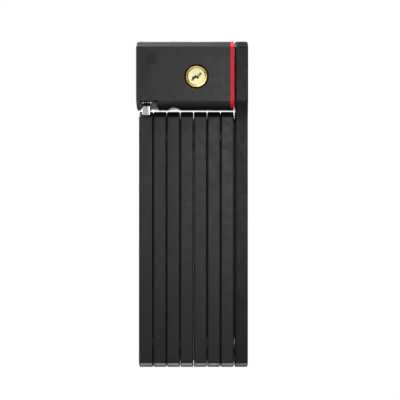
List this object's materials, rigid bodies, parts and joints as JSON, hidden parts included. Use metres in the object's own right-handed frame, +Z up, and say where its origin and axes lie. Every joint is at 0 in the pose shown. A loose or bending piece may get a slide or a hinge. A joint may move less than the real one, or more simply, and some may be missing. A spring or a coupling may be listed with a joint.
{
  "type": "folding bike lock",
  "caption": "Folding bike lock: flat covered steel bars riveted end to end, folded under a keyed lock body that turns on the last bar.",
  "frame": {"origin": "centre of the folded lock's box", "axes": "+X across the pack of bars towards the bar that carries the lock body, -Y the key side, +Z up along the bars towards the lock body"},
  "size_m": [0.066, 0.026, 0.1948],
  "materials": {
    "bar_cover": "soft-touch moulded black, fine grain",
    "last_bar_cover": "moulded black, slightly darker than the other bars",
    "casing_plastic": "fine spark-eroded black",
    "red_plastic": "satin red",
    "guide_grey": "dark grey coating",
    "black_ring": "black ring",
    "hardened_plate": "nickel-plated hardened steel",
    "blackened_steel": "blackened steel",
    "zinc_steel": "zinc-plated steel",
    "spring_steel": "drawn spring wire",
    "brass": "turned brass",
    "pale_brass": "polished pale brass"
  },
  "bodies": {
    "lock_body": {"body_casing": "casing_plastic", "accent_plate": "red_plastic", "lock_case": "blackened_steel", "tongue_guide": "guide_grey", "strike_plate": "blackened_steel", "cylinder_housing": "brass", "cylinder_bezel": "black_ring", "driver_pins": "brass", "pin_springs": "spring_steel", "latch_spring": "spring_steel", "pivot_rivet": "zinc_steel", "pivot_washer": "red_plastic"},
    "bar_8": {"bar_8_core": "hardened_plate", "bar_8_cover": "last_bar_cover", "rivet_8_7": "zinc_steel", "washer_8_7": "zinc_steel"},
    "bar_7": {"bar_7_core": "hardened_plate", "bar_7_cover": "bar_cover", "rivet_7_6": "zinc_steel", "washer_7_6": "zinc_steel"},
    "bar_6": {"bar_6_core": "hardened_plate", "bar_6_cover": "bar_cover", "rivet_6_5": "zinc_steel", "washer_6_5": "zinc_steel"},
    "bar_5": {"bar_5_core": "hardened_plate", "bar_5_cover": "bar_cover", "rivet_5_4": "zinc_steel", "washer_5_4": "zinc_steel"},
    "bar_4": {"bar_4_core": "hardened_plate", "bar_4_cover": "bar_cover", "rivet_4_3": "zinc_steel", "washer_4_3": "zinc_steel"},
    "bar_3": {"bar_3_core": "hardened_plate", "bar_3_cover": "bar_cover", "rivet_3_2": "zinc_steel", "washer_3_2": "zinc_steel"},
    "bar_2": {"bar_2_core": "hardened_plate", "bar_2_cover": "bar_cover", "rivet_2_1": "zinc_steel", "washer_2_1": "zinc_steel"},
    "bar_1": {"bar_1_core": "hardened_plate", "bar_1_cover": "bar_cover"},
    "key_plug": {"key_plug": "pale_brass", "key_pins": "brass"},
    "latch": {"latch_bolt": "hardened_plate"}
  },
  "joints": [
    {"name": "body_pivot", "type": "hinge", "parent": "lock_body", "child": "bar_8", "pos_m": [0.0289, 0, 0.07678], "axis": [1, 0, 0], "range_deg": [0, 105]},
    {"name": "hinge_8_7", "type": "hinge", "parent": "bar_8", "child": "bar_7", "pos_m": [0.0249, 0, -0.08218], "axis": [1, 0, 0], "range_deg": [-180, 180]},
    {"name": "hinge_7_6", "type": "hinge", "parent": "bar_7", "child": "bar_6", "pos_m": [0.0169, 0, 0.04018], "axis": [1, 0, 0], "range_deg": [-120, 120]},
    {"name": "hinge_6_5", "type": "hinge", "parent": "bar_6", "child": "bar_5", "pos_m": [0.0089, 0, -0.08218], "axis": [1, 0, 0], "range_deg": [-180, 180]},
    {"name": "hinge_5_4", "type": "hinge", "parent": "bar_5", "child": "bar_4", "pos_m": [0.0009, 0, 0.04018], "axis": [1, 0, 0], "range_deg": [-120, 120]},
    {"name": "hinge_4_3", "type": "hinge", "parent": "bar_4", "child": "bar_3", "pos_m": [-0.0071, 0, -0.08218], "axis": [1, 0, 0], "range_deg": [-180, 180]},
    {"name": "hinge_3_2", "type": "hinge", "parent": "bar_3", "child": "bar_2", "pos_m": [-0.0151, 0, 0.04018], "axis": [1, 0, 0], "range_deg": [-120, 120]},
    {"name": "hinge_2_1", "type": "hinge", "parent": "bar_2", "child": "bar_1", "pos_m": [-0.0231, 0, -0.08218], "axis": [1, 0, 0], "range_deg": [-180, 180]},
    {"name": "key_turn", "type": "hinge", "parent": "lock_body", "child": "key_plug", "pos_m": [0.0026, -0.0122, 0.0751], "axis": [0, -1, 0], "range_deg": [0, 90]},
    {"name": "latch_slide", "type": "slide", "parent": "lock_body", "child": "latch", "axis": [-1, 0, 0], "range_m": [0, 0.0068], "deforming": ["latch_spring"]}
  ],
  "couplings": [
    {"joint": "latch_slide", "follows": "key_turn", "m_per_rad": 0.004329}
  ]
}
